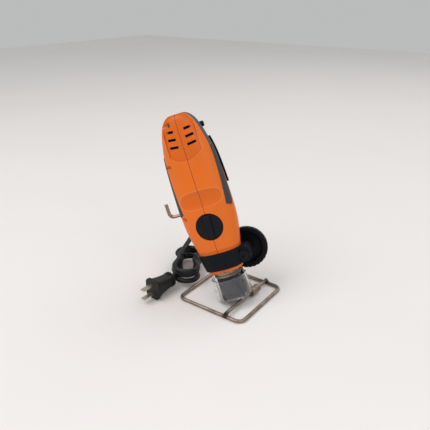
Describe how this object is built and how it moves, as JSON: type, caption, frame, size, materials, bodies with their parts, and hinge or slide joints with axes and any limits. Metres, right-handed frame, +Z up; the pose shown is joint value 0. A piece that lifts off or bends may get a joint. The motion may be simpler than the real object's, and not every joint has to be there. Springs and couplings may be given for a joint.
{
  "type": "jigsaw",
  "caption": "Barrel-grip jigsaw leaning on a hinged steel wire shoe, with collar knob, speed dial, tied mains lead and plug.",
  "frame": {"origin": "middle of the ground flat under the shoe's front rod, on the table", "axes": "+Z up, +Y along the shoe's front rod, -X towards the shoe's rear rod and the side the barrel leans to"},
  "size_m": [0.168, 0.1768, 0.2297],
  "materials": {
    "orange_shell": "fine satin moulding",
    "grey_cap": "satin moulded plastic",
    "soft_grip": "matt soft grip",
    "black_plastic": "satin black moulding",
    "clear_plastic": "clear moulding",
    "cast_grey": "painted casting",
    "bright_steel": "ground steel",
    "wire_steel": "bare rod, lightly stained",
    "dark_steel": "blackened",
    "laminations": "stacked sheet",
    "copper": "enamelled wire",
    "brass": "satin",
    "bronze": "sintered",
    "carbon": "carbon",
    "cord_rubber": "satin",
    "green_board": "potted module"
  },
  "bodies": {
    "shoe": {"shoe_loop": "wire_steel", "shoe_crossbar": "wire_steel"},
    "hanger": {"hanger_bracket": "wire_steel", "cord_lead": "cord_rubber", "cord_hank": "cord_rubber", "cord_tail": "cord_rubber", "plug_body": "cord_rubber", "plug_blades": "brass"},
    "plunger_unit": {"plunger": "bright_steel", "blade_clamp": "bright_steel", "clamp_screw": "dark_steel", "yoke": "bright_steel"},
    "drive_gear_body": {"drive_gear": "dark_steel"},
    "armature": {"armature_shaft": "bright_steel", "armature_core": "laminations", "commutator": "copper", "fan": "black_plastic"},
    "dial": {"speed_dial": "black_plastic"},
    "paddle": {"paddle_switch": "black_plastic"},
    "lock": {"lock_button": "black_plastic"},
    "key": {"hex_key": "wire_steel"},
    "tool": {"housing_left": "orange_shell", "housing_right": "orange_shell", "rear_cap": "grey_cap", "side_inlay_left": "soft_grip", "side_inlay_right": "soft_grip", "housing_screws": "dark_steel", "collar": "black_plastic", "collar_screw": "dark_steel", "side_knob": "black_plastic", "knob_bolt": "dark_steel", "head_block": "cast_grey", "head_screws": "bright_steel", "bite_comb": "bright_steel", "chip_guard": "clear_plastic", "plunger_bush_lower": "bronze", "plunger_bush_upper": "bronze", "gear_axle": "bright_steel", "bearing_bridge": "cast_grey", "front_bearing": "bright_steel", "rear_bearing": "bright_steel", "stator": "laminations", "field_coils": "copper", "brush_holders": "brass", "brushes": "carbon", "brush_springs": "bright_steel", "dial_module": "green_board", "paddle_pin": "bright_steel", "switch_module": "black_plastic", "cord_gland": "cord_rubber"}
  },
  "joints": [
    {"name": "shoe_tilt", "type": "hinge", "parent": "shoe", "child": "hanger", "pos_m": [-0.022, 0, 0.00595], "axis": [0, 1, 0], "range_deg": [0, 44.4]},
    {"name": "shoe_swivel", "type": "hinge", "parent": "hanger", "child": "tool", "pos_m": [-0.04637, -0.0091, 0.03921], "axis": [-0.3778, 0, 0.9259], "range_deg": [-73, 10]},
    {"name": "plunger_stroke", "type": "slide", "parent": "tool", "child": "plunger_unit", "axis": [-0.3778, 0, 0.9259], "range_m": [-0.016, 0]},
    {"name": "armature_spin", "type": "hinge", "parent": "tool", "child": "armature", "pos_m": [-0.09072, -0.00345, 0.13992], "axis": [-0.3778, 0, 0.9259], "continuous": true},
    {"name": "gear_spin", "type": "hinge", "parent": "tool", "child": "drive_gear_body", "pos_m": [-0.06829, -0.0091, 0.09291], "axis": [0.4347, -0.8829, 0.1774], "continuous": true},
    {"name": "dial_turn", "type": "hinge", "parent": "tool", "child": "dial", "pos_m": [-0.06234, -0.02517, 0.10095], "axis": [0.4347, -0.8829, 0.1774], "range_deg": [-135, 135]},
    {"name": "paddle_press", "type": "hinge", "parent": "tool", "child": "paddle", "pos_m": [-0.10121, 0.01862, 0.13456], "axis": [0.8175, 0.4695, 0.3336], "range_deg": [0, 1.5], "stiffness_Nm_per_rad": 8, "springref_deg": -1.72},
    {"name": "lock_press", "type": "slide", "parent": "tool", "child": "lock", "axis": [-0.8175, -0.4695, -0.3336], "range_m": [0, 0.002], "stiffness_N_per_m": 400, "springref_m": -0.001},
    {"name": "key_slide", "type": "slide", "parent": "tool", "child": "key", "axis": [-0.8175, -0.4695, -0.3336], "range_m": [0, 0.016]}
  ],
  "couplings": [
    {"joint": "gear_spin", "follows": "armature_spin", "ratio": -0.16667}
  ]
}
